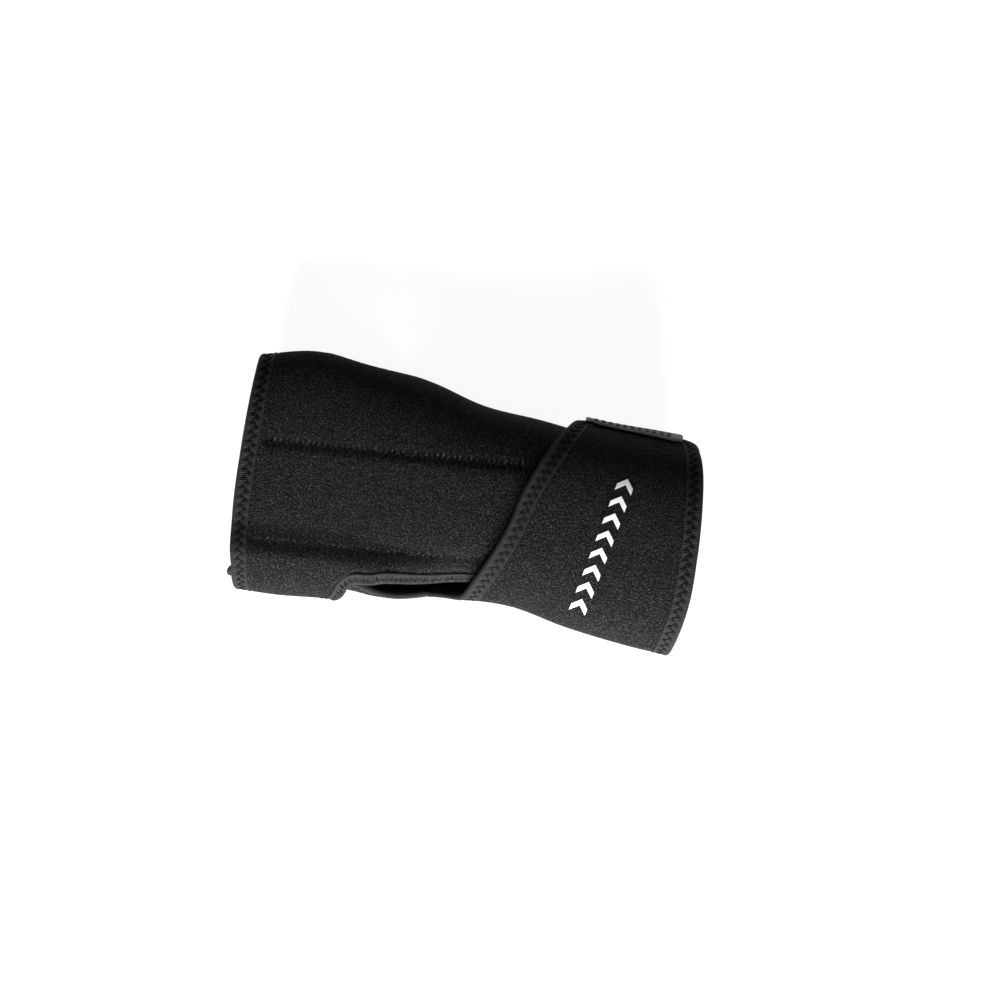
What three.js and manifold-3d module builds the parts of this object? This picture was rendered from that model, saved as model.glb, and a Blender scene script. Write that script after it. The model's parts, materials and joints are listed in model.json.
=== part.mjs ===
// A wrap-around wrist splint for the left hand, closed as it is when worn.
// One neoprene sheet goes from the back of the hand round the thumb side to the palm. A flap from its
// dorsal edge wraps the little-finger side of the hand and closes on the palm. A wide strap from its
// palmar edge wraps the ulnar side of the wrist, crosses the back and closes with a hook tab. A flat
// metal stay lies in a pocket under the back of the hand. Every cut edge is bound with folded tape.
//
// Millimetres. +X runs from the fingers to the elbow, +Y to the thumb, +Z up out of the back of the hand.
// The origin is on the flat palmar face under the wrist, where the splint rests on a table.
// Places on the splint are (x, angle, offset): the angle goes round the limb from 0 at the thumb side
// through 90 on the back to 180 at the little-finger side, and the offset is the distance off the limb.
import * as THREE from 'three';
import { mergeVertices } from 'three/addons/utils/BufferGeometryUtils.js';
import Module from 'manifold-3d';

const { lerp, clamp, smoothstep, degToRad, radToDeg } = THREE.MathUtils;

// Sheets, tape and the gaps between them.
const SHEET = 2.8; // neoprene with its two fabric faces
const TAPE = 0.5; // binding tape
const TAPE_GAP = 0.45; // between tape and sheet
const TAPE_WIDTH = 6; // how far the tape covers each face
const TAPE_STAND = TAPE_GAP + TAPE;
const LAYER_GAP = 2.2; // between two wrapped layers, room for two taped edges
const LAYER_RISE = SHEET + LAYER_GAP;
const JOIN_GAP = 0.5; // degrees left free at each end of a segment

// Cross-section of the limb.
const FULLNESS = 0.8; // 1 is an ellipse, less is squarer
const DORSAL_HEIGHT = 52; // top of the sleeve above the table, over the origin
const DORSAL_SLOPE = 0.1413; // rise of the back towards the elbow
const PALM_FLATTENING = 2.5; // how far the palmar side is pressed flat
const EDGE_LIFT = 1; // clearance under sheets whose taped edges lie near the table
const FLAP_LIFT_X = [-47, -30]; // x over which the palmar side comes down from the flap to the table
const ELBOW_LIFT_X = [64, 74]; // x over which it rises again by the edge lift

// Width of the limb: x, reach to the thumb side, reach to the little-finger side.
const LIMB = [
  [-96, 42.5, -43.6],
  [-72, 48.0, -43.2],
  [-48, 45.9, -41.0],
  [-24, 43.9, -41.4],
  [0, 37.8, -35.8],
  [24, 36.0, -34.2],
  [48, 33.6, -38.6],
  [72, 33.5, -41.5],
  [96, 33.3, -43.0],
];

// Sleeve: rows of [angle, x] for its two round edges, and the angles of its two long edges.
const SLEEVE_STEPS = [56, 24];
const SLOT_SHARE = 0.34; // where along the sleeve the slot is, from 0 at the hand to 1 at the elbow
const SLOT_CROWDING = 0.65; // how much the grid steps close up there
const DORSAL_EDGE = 142;
const PALM_EDGE_HAND = -208; // under the hand flap
const PALM_EDGE_NOTCH = -175; // where the slot opens between flap and strap
const STRAP_ROOT = 196;
const NOTCH_X = [-50, -16]; // x over which the palmar edge drops from the flap to the notch
const ROOT_X = [-16, -9]; // x over which it drops on to the strap's root
const SLEEVE_RISE = { angle: [114, 132], x: [-38, -8] }; // where the back lifts over the palmar part
const HAND_EDGE = [
  [-222, -92],
  [-164, -91.5],
  [-90, -87],
  [-10, -92],
  [30, -94.1],
  [90, -94.1],
  [120, -92.5],
  [142, -90],
];
const ELBOW_EDGE = [
  [-164, 88],
  [-110, 85],
  [-60, 82],
  [142, 82],
];

// Hand flap: a segment on the side of the hand, then one under the palm.
const FLAP_CORNER = 215;
const FLAP_END = 285;
const FLAP_DISTAL_EDGE = [
  [142, -90],
  [180, -87.6],
  [230, -85],
  [285, -83],
];
const FLAP_PROXIMAL_EDGE = [
  [142, -42],
  [165, -44.5],
  [185, -48],
  [285, -51],
];
const FLAP_STEPS = [12, 4];
const FLAP_PAD = { from: 262, to: 277, x: [-76, -58] };

// Strap: ulnar, dorsal and radial segments.
const STRAP_ULNAR_CORNER = 135;
const STRAP_RADIAL_CORNER = 45;
const STRAP_END = 6;
const STRAP_RISE = [160, 192]; // angles over which the strap comes down to the level of the sleeve
const STRAP_DISTAL_EDGE = [
  [6, 40],
  [45, 32.5],
  [90, 20.5],
  [135, 8.5],
  [160, 4],
  [196, 0],
];
const STRAP_PROXIMAL_EDGE = [
  [6, 80],
  [14, 86],
  [30, 89],
  [70, 92.8],
  [105, 94.4],
  [150, 91],
  [196, 88],
];

// Hook tab: sewn on the strap's end, folding at the edge of the strap and hooked on the thumb side.
const TAB_TOP = 22;
const TAB_FOLD = 3;
const TAB_TIP = -34;
const TAB_X = [42, 80.5];
const TAB_THICKNESS = 1;
const TAB_CORNER = 7;
const TAB_CORNER_SHARE = 0.8; // how much of the round corner is cut, to keep the tip's edge long
const TAB_RISE_START = -16;
const TAB_STEPS = [14, 6];
const TAB_PAD = { from: -28, to: -17, x: [47, 73.5] };
const HOOK_PAD = 0.9;

// Pocket and stay lie along the same line on the back of the hand.
const POCKET_X = [-85, 75];
const POCKET_TURN = 0.0725; // towards the thumb side at the elbow end
const POCKET_Y = -2.5;
const POCKET_HALF_WIDTH = 20;
const LINING = 0.8;
const LINING_STEPS = [12, 10];
const BLIND_END_STEPS = 1.6; // the lining's steps grow with this power from the blind end
const BLIND_END_RAMP = 3; // the lining is down on the stay this far before it
const STAY_SIDE_ROOM = 1.5;
const SEAM_HALF_WIDTH = 1.8;
const SEAM_HEIGHT = 0.4;
const SEAM_STEPS = 18;
const SEAM_MARGIN = 1; // between the lining's side or end and the seam's
const STAY_X = [-79, 71];
const STAY_HALF_WIDTH = 11.5;
const STAY_THICKNESS = 1.6;
const STAY_DEPTH = 3.8; // top of the stay below the sleeve's inner face
const STAY_CLEARANCE = 0.4;
const STAY_CORNER = 9;

// Thumb hole, below the thumb side: sizes along x and in degrees.
const THUMB = { x: -46, angle: -25, halfLength: 22, halfAngle: 21, steps: 24 };

const NUDGE = 0.02; // share of a panel that is surely inside its edge
const OUTSIDE_HOLE = 1.1; // share of the thumb hole's size that is surely outside it

const NEOPRENE = { color: 0x161616, roughness: 0.95, metalness: 0 };
const BINDING = { color: 0x26282a, roughness: 0.85, metalness: 0 };
const THREAD = { color: 0x303233, roughness: 0.8, metalness: 0 };
const HOOK = { color: 0x1c1d1e, roughness: 0.7, metalness: 0 };
const METAL = { color: 0xb4b7ba, roughness: 0.35, metalness: 1 };

// A smooth curve through rows of [position, value, ...], held level past its ends.
function through(rows) {
  const positions = rows.map((row) => row[0]);
  const values = rows.flatMap((row) => row.slice(1));
  const curve = new THREE.CubicInterpolant(positions, values, rows[0].length - 1);
  return (at) => [...curve.evaluate(clamp(at, positions[0], positions.at(-1)))];
}

const limbReach = through(LIMB);
const handEdge = through(HAND_EDGE);
const elbowEdge = through(ELBOW_EDGE);
const flapDistal = through(FLAP_DISTAL_EDGE);
const flapProximal = through(FLAP_PROXIMAL_EDGE);
const strapDistal = through(STRAP_DISTAL_EDGE);
const strapProximal = through(STRAP_PROXIMAL_EDGE);

// Height of the sleeve's palmar outer face above the table: under the hand it stands on the flap.
function palmHeight(x) {
  const overFlap = 1 - smoothstep(x, ...FLAP_LIFT_X);
  const nearElbow = smoothstep(x, ...ELBOW_LIFT_X);
  return (LAYER_RISE + EDGE_LIFT) * overFlap + EDGE_LIFT * nearElbow;
}

const dorsalInside = (x) => DORSAL_HEIGHT + DORSAL_SLOPE * x - SHEET;

// The limb's cross-section at x: centre and half sizes.
function section(x) {
  const [radial, ulnar] = limbReach(x);
  const bottom = palmHeight(x) + SHEET - PALM_FLATTENING;
  return {
    y: (radial + ulnar) / 2,
    z: (dorsalInside(x) + bottom) / 2,
    halfY: (radial - ulnar) / 2,
    halfZ: (dorsalInside(x) - bottom) / 2,
  };
}

// The point at (x, angle, offset).
function onLimb(x, angle, offset) {
  const s = section(x);
  const cos = Math.cos(degToRad(angle));
  const sin = Math.sin(degToRad(angle));
  const y = s.y + (s.halfY + offset) * Math.sign(cos) * Math.abs(cos) ** FULLNESS;
  const z = s.z + (s.halfZ + offset) * Math.sign(sin) * Math.abs(sin) ** FULLNESS;
  return new THREE.Vector3(x, y, Math.max(z, palmHeight(x) + SHEET - offset));
}

// The angle on the back at which the surface at that offset has the given y.
function angleAt(x, y, offset) {
  const s = section(x);
  const share = clamp((y - s.y) / (s.halfY + offset), -1, 1);
  return radToDeg(Math.acos(Math.sign(share) * Math.abs(share) ** (1 / FULLNESS)));
}

// The point on the back of the sleeve with the given y, that far above its inner face.
function onBack(x, y, above) {
  let angle = 90;
  for (let i = 0; i < 4; i++) angle = angleAt(x, y, sleeveOffset(x, angle) + above);
  return onLimb(x, angle, sleeveOffset(x, angle) + above);
}

const mmPerDegree = (x, angle) =>
  onLimb(x, angle - 1, SHEET).distanceTo(onLimb(x, angle + 1, SHEET)) / 2;

// Turns the faces of a closed geometry to point outwards.
function facingOut(geometry) {
  const corners = geometry.index.array;
  const position = geometry.getAttribute('position');
  const [a, b, c] = [0, 1, 2].map(() => new THREE.Vector3());
  let volume = 0;
  for (let i = 0; i < corners.length; i += 3) {
    a.fromBufferAttribute(position, corners[i]);
    b.fromBufferAttribute(position, corners[i + 1]);
    c.fromBufferAttribute(position, corners[i + 2]);
    volume += a.dot(b.cross(c));
  }
  if (volume < 0) corners.reverse();
  return geometry;
}

// Bends a three.js geometry: place(point) says where each vertex goes.
function bend(geometry, place) {
  geometry.deleteAttribute('normal');
  geometry.deleteAttribute('uv');
  const bent = mergeVertices(geometry, 1e-5);
  const position = bent.getAttribute('position');
  const point = new THREE.Vector3();
  for (let i = 0; i < position.count; i++) {
    point.copy(place(point.fromBufferAttribute(position, i)));
    position.setXYZ(i, point.x, point.y, point.z);
  }
  return facingOut(bent);
}

// A closed sheet: place(u, v, w) with u and v over its face and w from 0 inside to 1 outside.
const sheet = (stepsU, stepsV, place) =>
  bend(new THREE.BoxGeometry(1, 1, 1, stepsU, stepsV, 1), (p) =>
    place(p.x + 0.5, p.y + 0.5, p.z + 0.5),
  );

// A panel is a stretch of neoprene: at(u, v) is its [x, angle], u round the limb and v along it.
// offset(x, angle) is how far its inner face stands off the limb.
function wrap({ from, to, distal, proximal, offset, steps }) {
  const side = Math.sign(to - from) * JOIN_GAP;
  const at = (u, v) => {
    const angle = lerp(from + side, to - side, u);
    return [lerp(distal(angle)[0], proximal(angle)[0], v), angle];
  };
  return { at, offset, steps };
}

const panelSheet = ({ at, offset, steps }) =>
  sheet(steps[0], steps[1], (u, v, w) => {
    const [x, angle] = at(u, v);
    return onLimb(x, angle, offset(x, angle) + w * SHEET);
  });

// The section of folded tape: fold goes 0 to 3 round the edge, out is 0 on its inner side.
// It gives the distance from the sheet's edge into the sheet, and across the sheet's thickness.
function tapeSection(fold, out) {
  const across = SHEET / 2 + TAPE_GAP + out;
  const past = -TAPE_GAP - out;
  return [
    [TAPE_WIDTH, across],
    [past, across],
    [past, -across],
    [TAPE_WIDTH, -across],
  ][fold];
}

// Where tape goes on an edge: edge(s) is [x, angle], and the sheet lies towards inside(s).
// Tape runs square to the edge, or on a round edge along the limb, so that it ends flush with a segment.
function tapePlace(edge, inside, offset, roundEdge = false) {
  const step = 1e-3;
  return (s, fold, out) => {
    const [into, across] = tapeSection(fold, out);
    const [x, angle] = edge(s);
    const [x0, angle0] = edge(s - step);
    const [x1, angle1] = edge(s + step);
    const [xInside, angleInside] = inside(s);
    const scale = mmPerDegree(x, angle);
    const along = new THREE.Vector2(x1 - x0, (angle1 - angle0) * scale).normalize();
    const inwards = new THREE.Vector2(xInside - x, (angleInside - angle) * scale);
    const side = Math.sign(along.cross(inwards)) * into;
    const xTape = x - (roundEdge ? 1 / along.y : along.y) * side;
    const angleTape = angle + (roundEdge ? 0 : (along.x * side) / scale);
    return onLimb(xTape, angleTape, offset(xTape, angleTape) + SHEET / 2 + across);
  };
}

const EDGE_POINT = {
  first: (s) => [0, s],
  last: (s) => [1, s],
  distal: (s) => [s, 0],
  proximal: (s) => [s, 1],
};

// Tape along one edge of a panel, leaving out some grid steps at each end.
function tape(panel, edge, skipFirst = 0, skipLast = 0) {
  const roundEdge = edge === 'distal' || edge === 'proximal';
  const count = panel.steps[roundEdge ? 0 : 1];
  const share = (s) => lerp(skipFirst, count - skipLast, s) / count;
  const point = (s) => EDGE_POINT[edge](share(s));
  const inside = (s) => {
    const [u, v] = point(s);
    return panel.at(lerp(u, 0.5, NUDGE), lerp(v, 0.5, NUDGE));
  };
  const place = tapePlace((s) => panel.at(...point(s)), inside, panel.offset, roundEdge);
  return sheet(count - skipFirst - skipLast, 3, (u, v, w) =>
    place(u, Math.round(v * 3), w * TAPE),
  );
}

// A flat patch between two angles and two x, over a range of offsets.
function patch({ from, to, x, low, high, steps }) {
  return sheet(steps[0], steps[1], (u, v, w) => {
    const angle = lerp(from, to, u);
    return onLimb(lerp(x[0], x[1], v), angle, lerp(low, high, w));
  });
}

const wasm = await Module();
wasm.setup();

function toSolid(geometry) {
  const vertProperties = Float32Array.from(geometry.getAttribute('position').array);
  const triVerts = Uint32Array.from(geometry.index.array);
  return new wasm.Manifold(new wasm.Mesh({ numProp: 3, vertProperties, triVerts }));
}

function toGeometry(solid) {
  const mesh = solid.getMesh();
  const geometry = new THREE.BufferGeometry();
  const vertices = new THREE.BufferAttribute(mesh.vertProperties.slice(), 3);
  geometry.setAttribute('position', vertices);
  geometry.setIndex(new THREE.BufferAttribute(mesh.triVerts.slice(), 1));
  return geometry;
}

// Sleeve. Near its dorsal edge the hand part rises to make room for the palmar part under it.
function sleeveOffset(x, angle) {
  return LAYER_RISE * smoothstep(angle, ...SLEEVE_RISE.angle) * (1 - smoothstep(x, ...SLEEVE_RISE.x));
}

// Its palmar edge reaches high under the flap, drops at the slot and comes back to the strap's root.
function palmEdge(x) {
  const notch = (PALM_EDGE_NOTCH - PALM_EDGE_HAND) * smoothstep(x, ...NOTCH_X);
  const root = (STRAP_ROOT - 360 - PALM_EDGE_NOTCH) * smoothstep(x, ...ROOT_X);
  return PALM_EDGE_HAND + notch + root;
}

// Grid steps along the sleeve are closer near the slot.
function crowded(v) {
  const wave = (share) => Math.sin(2 * Math.PI * share) / (2 * Math.PI);
  return v - SLOT_CROWDING * (wave(v - SLOT_SHARE) + wave(SLOT_SHARE));
}

const sleeve = {
  at: (u, v) => {
    const angle = lerp(STRAP_ROOT - 360, DORSAL_EDGE, u);
    const x = lerp(handEdge(angle)[0], elbowEdge(angle)[0], crowded(v));
    return [x, lerp(palmEdge(x), DORSAL_EDGE, u)];
  },
  offset: sleeveOffset,
  steps: SLEEVE_STEPS,
};

function thumbEdge(s) {
  const turn = 2 * Math.PI * s;
  const x = THUMB.x + THUMB.halfLength * Math.cos(turn);
  return [x, THUMB.angle + THUMB.halfAngle * Math.sin(turn)];
}

function neopreneSleeve() {
  const plug = new THREE.CylinderGeometry(1, 1, 1, THUMB.steps);
  const hole = bend(plug, (p) => {
    const x = THUMB.x + THUMB.halfLength * p.x;
    const angle = THUMB.angle + THUMB.halfAngle * p.z;
    return onLimb(x, angle, SHEET / 2 + 3 * SHEET * p.y);
  });
  return toGeometry(toSolid(panelSheet(sleeve)).subtract(toSolid(hole)));
}

// The thumb hole's tape is a closed ring: its section goes out along the fold and back inside it.
function thumbTape() {
  const awayFromHole = (s) => {
    const [x, angle] = thumbEdge(s);
    return [lerp(THUMB.x, x, OUTSIDE_HOLE), lerp(THUMB.angle, angle, OUTSIDE_HOLE)];
  };
  const place = tapePlace(thumbEdge, awayFromHole, sleeveOffset);
  const points = 8;
  return bend(new THREE.TorusGeometry(2, 1, points, THUMB.steps), (p) => {
    const turn = Math.atan2(p.y, p.x) / (2 * Math.PI);
    const round = Math.atan2(p.z, Math.hypot(p.x, p.y) - 2) / (2 * Math.PI);
    const k = (Math.round(round * points) + points) % points;
    return k < 4 ? place(turn, k, TAPE) : place(turn, 7 - k, 0);
  });
}

const pocketY = (x) => POCKET_Y + POCKET_TURN * x;
const stayTop = (x) => dorsalInside(x) - STAY_DEPTH;

// The pocket's lining hangs clear of the stay, and meets the sleeve at both seams and the blind end.
function pocketLining() {
  const halfWidth = POCKET_HALF_WIDTH - SEAM_MARGIN;
  return sheet(...LINING_STEPS, (u, v, w) => {
    const x = lerp(POCKET_X[0], POCKET_X[1], v ** BLIND_END_STEPS);
    const aside = lerp(-halfWidth, halfWidth, u);
    const y = pocketY(x) + aside;
    const sleeveInside = onBack(x, y, 0).z - TAPE_GAP;
    const hanging = stayTop(x) - STAY_THICKNESS - STAY_CLEARANCE;
    const atSeam = smoothstep(Math.abs(aside), STAY_HALF_WIDTH + STAY_SIDE_ROOM, halfWidth);
    const atBlindEnd = 1 - smoothstep(x, POCKET_X[0], STAY_X[0] - BLIND_END_RAMP);
    const top = lerp(hanging, sleeveInside, Math.max(atSeam, atBlindEnd));
    return new THREE.Vector3(x, y, top - (1 - w) * LINING);
  });
}

function metalStay() {
  const length = STAY_X[1] - STAY_X[0];
  const outline = new THREE.Shape();
  const [h, r] = [STAY_HALF_WIDTH, STAY_CORNER];
  outline.moveTo(r, -h);
  outline.lineTo(length - r, -h);
  outline.absarc(length - r, r - h, r, -Math.PI / 2, 0);
  outline.absarc(length - r, h - r, r, 0, Math.PI / 2);
  outline.lineTo(r, h);
  outline.absarc(r, h - r, r, Math.PI / 2, Math.PI);
  outline.absarc(r, r - h, r, Math.PI, 1.5 * Math.PI);
  const depth = STAY_THICKNESS;
  const plate = new THREE.ExtrudeGeometry(outline, { depth, bevelEnabled: false, curveSegments: 5 });
  return bend(plate, (p) => {
    const x = STAY_X[0] + p.x;
    return new THREE.Vector3(x, pocketY(x) + p.y, stayTop(x) - STAY_THICKNESS + p.z);
  });
}

// A row of pocket stitching: a thin band on the sleeve along one side of the pocket.
function pocketSeam(side) {
  return sheet(1, SEAM_STEPS, (u, v, w) => {
    const x = lerp(POCKET_X[0] + SEAM_MARGIN, POCKET_X[1] - 2 * SEAM_MARGIN, v);
    const across = lerp(-SEAM_HALF_WIDTH, SEAM_HALF_WIDTH, u);
    const y = pocketY(x) + side * POCKET_HALF_WIDTH + across;
    return onBack(x, y, SHEET + TAPE_GAP + w * SEAM_HEIGHT);
  });
}

// Flap and strap panels.
const onTop = () => LAYER_RISE;
const flapWrap = (from, to, steps) =>
  wrap({ from, to, distal: flapDistal, proximal: flapProximal, offset: onTop, steps });
const flapSide = flapWrap(DORSAL_EDGE, FLAP_CORNER, FLAP_STEPS);
const flapPalm = flapWrap(FLAP_CORNER, FLAP_END, FLAP_STEPS);

// The strap rises from the level of the sleeve's palmar part to lie over the dorsal part.
const strapOffset = (x, angle) => LAYER_RISE * (1 - smoothstep(angle, ...STRAP_RISE));
const strapWrap = (from, to, steps) =>
  wrap({ from, to, distal: strapDistal, proximal: strapProximal, offset: strapOffset, steps });
const strapUlnar = strapWrap(STRAP_ROOT, STRAP_ULNAR_CORNER, [10, 8]);
const strapDorsal = strapWrap(STRAP_ULNAR_CORNER, STRAP_RADIAL_CORNER, [14, 8]);
const strapRadial = strapWrap(STRAP_RADIAL_CORNER, STRAP_END, [8, 6]);

// The tab's inner face: over the strap's taped end, then down onto the sleeve.
const TAB_OVER_STRAP = LAYER_RISE + SHEET + TAPE_STAND + TAPE_GAP;
const TAB_ON_SLEEVE = SHEET + TAPE_GAP + HOOK_PAD + TAPE_GAP;
const tabOffset = (angle) =>
  lerp(TAB_ON_SLEEVE, TAB_OVER_STRAP, smoothstep(angle, TAB_RISE_START, TAB_FOLD - 1));

// How far the side of a rounded corner draws in at a distance along from the tab's tip.
function drawIn(along) {
  const left = TAB_CORNER - Math.min(along, TAB_CORNER);
  return TAB_CORNER - Math.sqrt(TAB_CORNER ** 2 - left ** 2);
}

function hookTab() {
  return sheet(...TAB_STEPS, (u, v, w) => {
    const angle = lerp(TAB_TIP, TAB_FOLD - JOIN_GAP, u);
    const fromTip = (angle - TAB_TIP) * mmPerDegree(TAB_X[0], TAB_TIP);
    const cut = TAB_CORNER_SHARE * drawIn(fromTip);
    const x = lerp(TAB_X[0] + cut, TAB_X[1] - cut, v);
    return onLimb(x, angle, tabOffset(angle) + w * TAB_THICKNESS);
  });
}

const tabRoot = () =>
  patch({
    from: TAB_FOLD + JOIN_GAP,
    to: TAB_TOP,
    x: TAB_X,
    low: TAB_OVER_STRAP,
    high: TAB_OVER_STRAP + TAB_THICKNESS,
    steps: [5, 5],
  });

const tabPad = () =>
  patch({
    ...TAB_PAD,
    low: TAB_ON_SLEEVE - TAPE_GAP - HOOK_PAD,
    high: TAB_ON_SLEEVE - TAPE_GAP,
    steps: [4, 5],
  });

const flapPad = () =>
  patch({
    ...FLAP_PAD,
    low: LAYER_RISE - TAPE_GAP - HOOK_PAD,
    high: LAYER_RISE - TAPE_GAP,
    steps: [4, 3],
  });

const root = new THREE.Group();
function add(name, geometry, look) {
  const mesh = new THREE.Mesh(geometry, new THREE.MeshStandardMaterial(look));
  mesh.name = name;
  root.add(mesh);
}

// Sleeve.
add('neoprene_sleeve', neopreneSleeve(), NEOPRENE);
add('hand_edge_binding', tape(sleeve, 'distal', 3, 0), BINDING);
add('elbow_edge_binding', tape(sleeve, 'proximal'), BINDING);
add('dorsal_edge_binding', tape(sleeve, 'last', 11, 1), BINDING);
add('palm_edge_binding', tape(sleeve, 'first', 0, 8), BINDING);
add('thumb_hole_binding', thumbTape(), BINDING);

// Pocket and stay.
add('splint_pocket_lining', pocketLining(), NEOPRENE);
add('pocket_seam_radial', pocketSeam(1), THREAD);
add('pocket_seam_ulnar', pocketSeam(-1), THREAD);
add('metal_stay', metalStay(), METAL);

// Hand flap.
add('hand_flap_side', panelSheet(flapSide), NEOPRENE);
add('hand_flap_side_distal_binding', tape(flapSide, 'distal'), BINDING);
add('hand_flap_side_proximal_binding', tape(flapSide, 'proximal'), BINDING);
add('hand_flap_palm', panelSheet(flapPalm), NEOPRENE);
add('hand_flap_palm_distal_binding', tape(flapPalm, 'distal'), BINDING);
add('hand_flap_palm_proximal_binding', tape(flapPalm, 'proximal'), BINDING);
add('hand_flap_end_binding', tape(flapPalm, 'last', 1, 1), BINDING);
add('hand_flap_hook_pad', flapPad(), HOOK);

// Strap.
add('strap_ulnar', panelSheet(strapUlnar), NEOPRENE);
add('strap_ulnar_distal_binding', tape(strapUlnar, 'distal'), BINDING);
add('strap_ulnar_proximal_binding', tape(strapUlnar, 'proximal'), BINDING);
add('strap_dorsal', panelSheet(strapDorsal), NEOPRENE);
add('strap_dorsal_distal_binding', tape(strapDorsal, 'distal'), BINDING);
add('strap_dorsal_proximal_binding', tape(strapDorsal, 'proximal'), BINDING);
add('strap_radial', panelSheet(strapRadial), NEOPRENE);
add('strap_radial_distal_binding', tape(strapRadial, 'distal'), BINDING);
add('strap_radial_proximal_binding', tape(strapRadial, 'proximal'), BINDING);
add('strap_end_binding', tape(strapRadial, 'last', 1, 2), BINDING);
add('hook_tab_root', tabRoot(), HOOK);

// Hook tab.
add('hook_tab', hookTab(), HOOK);
add('hook_tab_pad', tabPad(), HOOK);

export default root;
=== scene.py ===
"""Looks of the wrist splint: neoprene sheets, folded tape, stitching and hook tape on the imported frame.

Shapes are worked out in millimetres, as places (x, angle, offset) on the limb that the splint wraps, and
written to the meshes in metres. +X runs to the elbow, +Y to the thumb side and +Z out of the back of the
hand. The angle goes round the limb from 0 at the thumb side through 90 on the back.
"""

import json

import bpy
import numpy as np
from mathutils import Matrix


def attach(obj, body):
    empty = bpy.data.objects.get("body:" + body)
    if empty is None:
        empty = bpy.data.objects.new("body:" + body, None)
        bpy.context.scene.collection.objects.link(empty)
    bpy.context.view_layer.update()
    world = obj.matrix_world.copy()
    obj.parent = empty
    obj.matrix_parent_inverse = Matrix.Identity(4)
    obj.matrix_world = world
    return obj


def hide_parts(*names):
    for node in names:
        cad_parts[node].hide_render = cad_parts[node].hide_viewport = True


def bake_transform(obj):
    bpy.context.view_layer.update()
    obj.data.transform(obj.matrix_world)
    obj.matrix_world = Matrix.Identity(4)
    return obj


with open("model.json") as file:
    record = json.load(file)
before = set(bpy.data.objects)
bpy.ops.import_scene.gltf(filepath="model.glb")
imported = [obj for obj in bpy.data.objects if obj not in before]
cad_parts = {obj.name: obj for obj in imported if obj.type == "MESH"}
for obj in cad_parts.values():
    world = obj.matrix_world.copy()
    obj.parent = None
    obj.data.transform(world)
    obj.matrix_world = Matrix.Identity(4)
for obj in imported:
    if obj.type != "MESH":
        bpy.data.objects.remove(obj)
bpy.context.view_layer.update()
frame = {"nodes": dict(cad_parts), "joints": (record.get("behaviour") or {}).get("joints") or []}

MM = 0.001

# ------ camera, light and floor

VIEW_CENTRE = (0.013, 0.0035, 0.04)
VIEW_WIDTH = 0.408
VIEW_DISTANCE = 1.6
VIEW_TURN = np.radians(10)
SENSOR = 36
# Soft light from low on the little-finger side, and a trace from above.
KEY_LIGHT = {"location": (0.1, -1.34, 0.54), "size": 1.0, "power": 108}
TOP_LIGHT = {"location": (-0.2, -0.45, 1.5), "size": 0.9, "power": 1}
WORLD_STRENGTH = 0.08


def add_camera():
    camera = bpy.data.cameras.new("camera")
    camera.sensor_width = SENSOR
    camera.lens = SENSOR * VIEW_DISTANCE / VIEW_WIDTH
    view = bpy.data.objects.new("camera", camera)
    x, y, z = VIEW_CENTRE
    view.location = (x, y, z + VIEW_DISTANCE)
    view.rotation_euler = (0, 0, VIEW_TURN)
    bpy.context.collection.objects.link(view)
    bpy.context.scene.camera = view


def add_light(name, location, size, power):
    light = bpy.data.lights.new(name, "AREA")
    light.size = size
    light.energy = power
    lamp = bpy.data.objects.new(name, light)
    lamp.location = location
    aim = np.array(VIEW_CENTRE) - np.array(location)
    flat = float(np.hypot(aim[0], aim[1]))
    lamp.rotation_euler = (float(np.arctan2(flat, -aim[2])), 0, float(np.arctan2(-aim[0], aim[1])))
    bpy.context.collection.objects.link(lamp)


def add_world(strength):
    world = bpy.data.worlds.new("studio")
    world.use_nodes = True
    background = world.node_tree.nodes["Background"]
    background.inputs["Color"].default_value = (1, 1, 1, 1)
    background.inputs["Strength"].default_value = strength
    bpy.context.scene.world = world


add_camera()
add_world(WORLD_STRENGTH)
add_light("key", **KEY_LIGHT)
add_light("top", **TOP_LIGHT)
bpy.context.scene.view_settings.view_transform = "Standard"

# ------ the limb that the splint wraps

SHEET = 2.8
LAYER_RISE = 5.0
FULLNESS = 0.8
DORSAL_HEIGHT = 52
DORSAL_SLOPE = 0.1413
PALM_FLATTENING = 2.5
EDGE_LIFT = 1
PALM_SOFTNESS = 0.8
# Where the palm comes down from the flap's thickness, and lifts to the elbow edge: x from and to.
FLAP_STEP_X = (-47, -30)
ELBOW_LIFT_X = (64, 74)
# Where the back of the hand rises over the palmar part under it, by angle, and comes down again, by x.
DORSAL_RISE_ANGLE = (114, 132)
DORSAL_FALL_X = (-38, 4)
# The strap lies on the sleeve up to the first angle and is level with it from the second.
STRAP_FALL_ANGLE = (147, 184)

DORSAL_EDGE = 142
PALM_EDGE_HAND = -208
STRAP_ROOT = 196
SLEEVE_START = STRAP_ROOT - 360
FLAP_END = 285
STRAP_END = 6
SLOT_END = -42

# x, reach to the thumb side, reach to the little-finger side
LIMB = [
    (-96, 42.5, -43.6),
    (-72, 48.0, -43.2),
    (-48, 45.9, -41.0),
    (-24, 43.9, -41.4),
    (0, 37.8, -35.8),
    (24, 36.0, -34.2),
    (48, 33.6, -38.6),
    (72, 33.5, -41.5),
    (96, 33.3, -43.0),
]
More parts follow.
